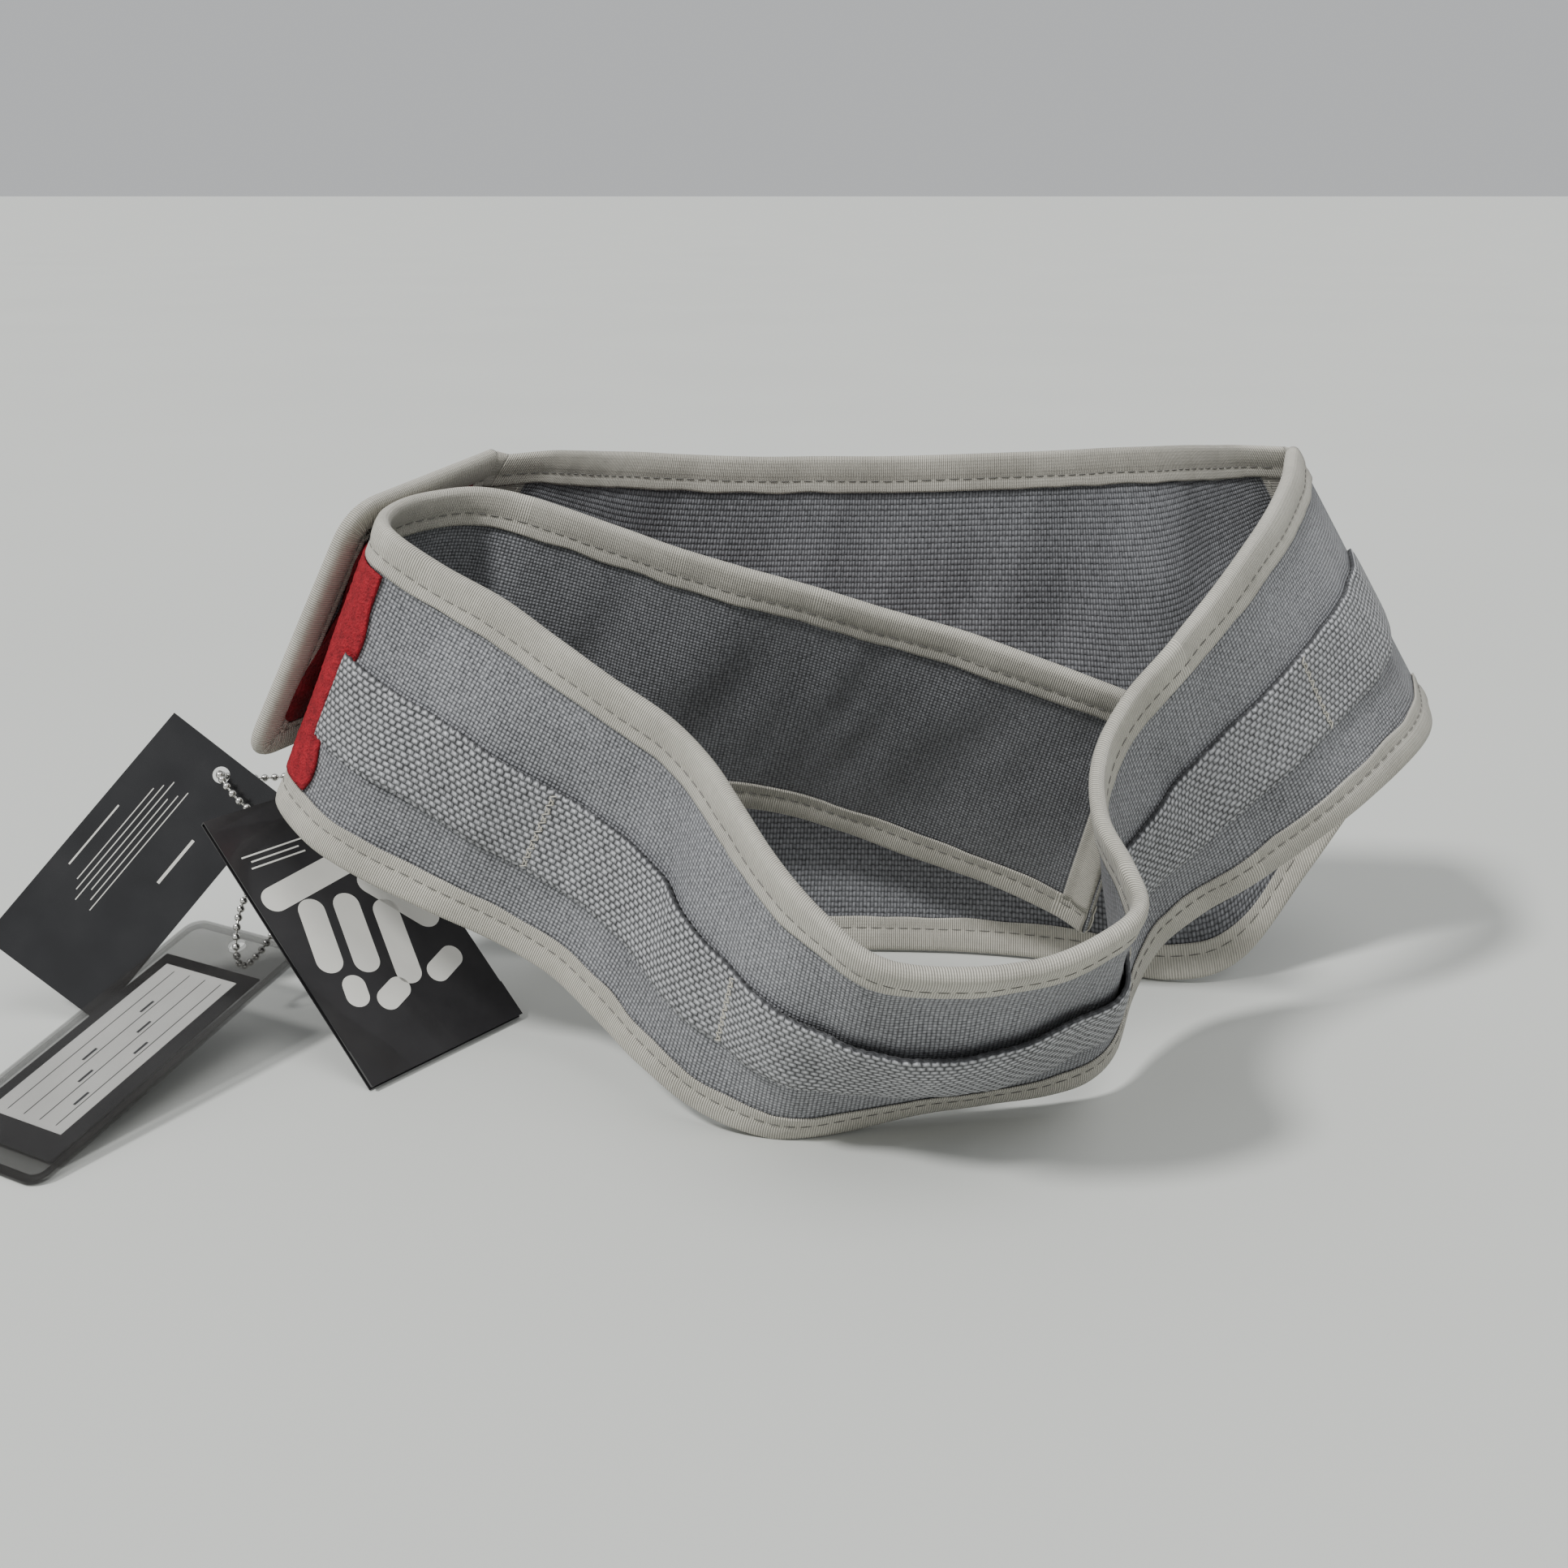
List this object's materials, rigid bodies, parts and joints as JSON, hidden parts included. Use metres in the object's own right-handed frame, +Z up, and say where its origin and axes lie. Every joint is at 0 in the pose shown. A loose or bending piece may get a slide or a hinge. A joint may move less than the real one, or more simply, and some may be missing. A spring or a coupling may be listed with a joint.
{
  "type": "hook-and-loop wrap band with hang tags",
  "caption": "Wide padded nylon wrap band standing on edge: shaped back panel, long webbing-faced strap, hook flap, pale bound edges, and hang tags on a ball chain.",
  "frame": {"origin": "centre of the whole set's footprint, on the surface it stands on", "axes": "+Z up, +X along the back panel from the flap's seam to the strap's seam, +Y from the front bulge to the back panel"},
  "size_m": [0.4272, 0.1846, 0.1591],
  "materials": {
    "grey_nylon": "woven nylon, slight glint",
    "dark_lining": "plain woven nylon lining",
    "pvc_core": "flexible PVC stiffener, hidden",
    "cream_binding": "ribbed grosgrain",
    "grey_webbing": "woven nylon webbing, bright glints",
    "beige_thread": "dense zigzag thread",
    "red_loop": "looped pile",
    "red_hook": "stiff woven tape with fine hooks",
    "black_board": "coated board",
    "printed_paper": "coated dark board, printed",
    "smoke_vinyl": "clear smoky vinyl",
    "white_label": "ruled paper label",
    "nickel_steel": "nickel plated"
  },
  "bodies": {
    "band": {"strap_outer_fabric": "grey_nylon", "strap_core": "pvc_core", "strap_lining": "dark_lining", "strap_top_binding": "cream_binding", "strap_bottom_binding": "cream_binding", "strap_webbing": "grey_webbing", "strap_bar_tacks": "beige_thread", "strap_loop_tape": "red_loop", "tail_end_binding": "cream_binding", "back_outer_fabric": "grey_nylon", "back_core": "pvc_core", "back_lining": "dark_lining", "back_top_binding": "cream_binding", "back_bottom_binding": "cream_binding", "back_webbing": "grey_webbing", "back_bar_tacks": "beige_thread", "left_seam_tape": "cream_binding", "right_seam_tape": "cream_binding", "chain_beads": "nickel_steel", "chain_links": "nickel_steel"},
    "flap": {"flap_outer_fabric": "grey_nylon", "flap_core": "pvc_core", "flap_lining": "dark_lining", "flap_binding": "cream_binding", "flap_hook_tape": "red_hook", "flap_webbing": "grey_webbing", "flap_bar_tack": "beige_thread"},
    "black_card": {"black_card": "black_board"},
    "leaflet": {"leaflet_back_leaf": "printed_paper", "leaflet_front_leaf": "printed_paper", "leaflet_bottom_strip": "printed_paper"},
    "sleeve": {"sleeve_back_sheet": "smoke_vinyl", "sleeve_front_sheet": "smoke_vinyl", "sleeve_weld": "smoke_vinyl", "sleeve_card": "black_board", "sleeve_label": "white_label"}
  },
  "joints": [
    {"name": "flap_open", "type": "hinge", "parent": "band", "child": "flap", "pos_m": [-0.06567, 0.0754, 0.158], "axis": [-0.5073, -0.1835, -0.842], "range_deg": [0, 110]},
    {"name": "black_card_swing", "type": "hinge", "parent": "band", "child": "black_card", "pos_m": [-0.14855, 0.04984, 0.0661], "axis": [-0.1573, 0.9247, -0.3468], "range_deg": [0, 25]},
    {"name": "leaflet_swing", "type": "hinge", "parent": "band", "child": "leaflet", "pos_m": [-0.12517, 0.0392, 0.057], "axis": [0, 0, -1], "range_deg": [0, 20]},
    {"name": "sleeve_swing", "type": "hinge", "parent": "band", "child": "sleeve", "pos_m": [-0.14007, 0.0223, 0.0227], "axis": [0, 0, -1], "range_deg": [0, 12]}
  ]
}
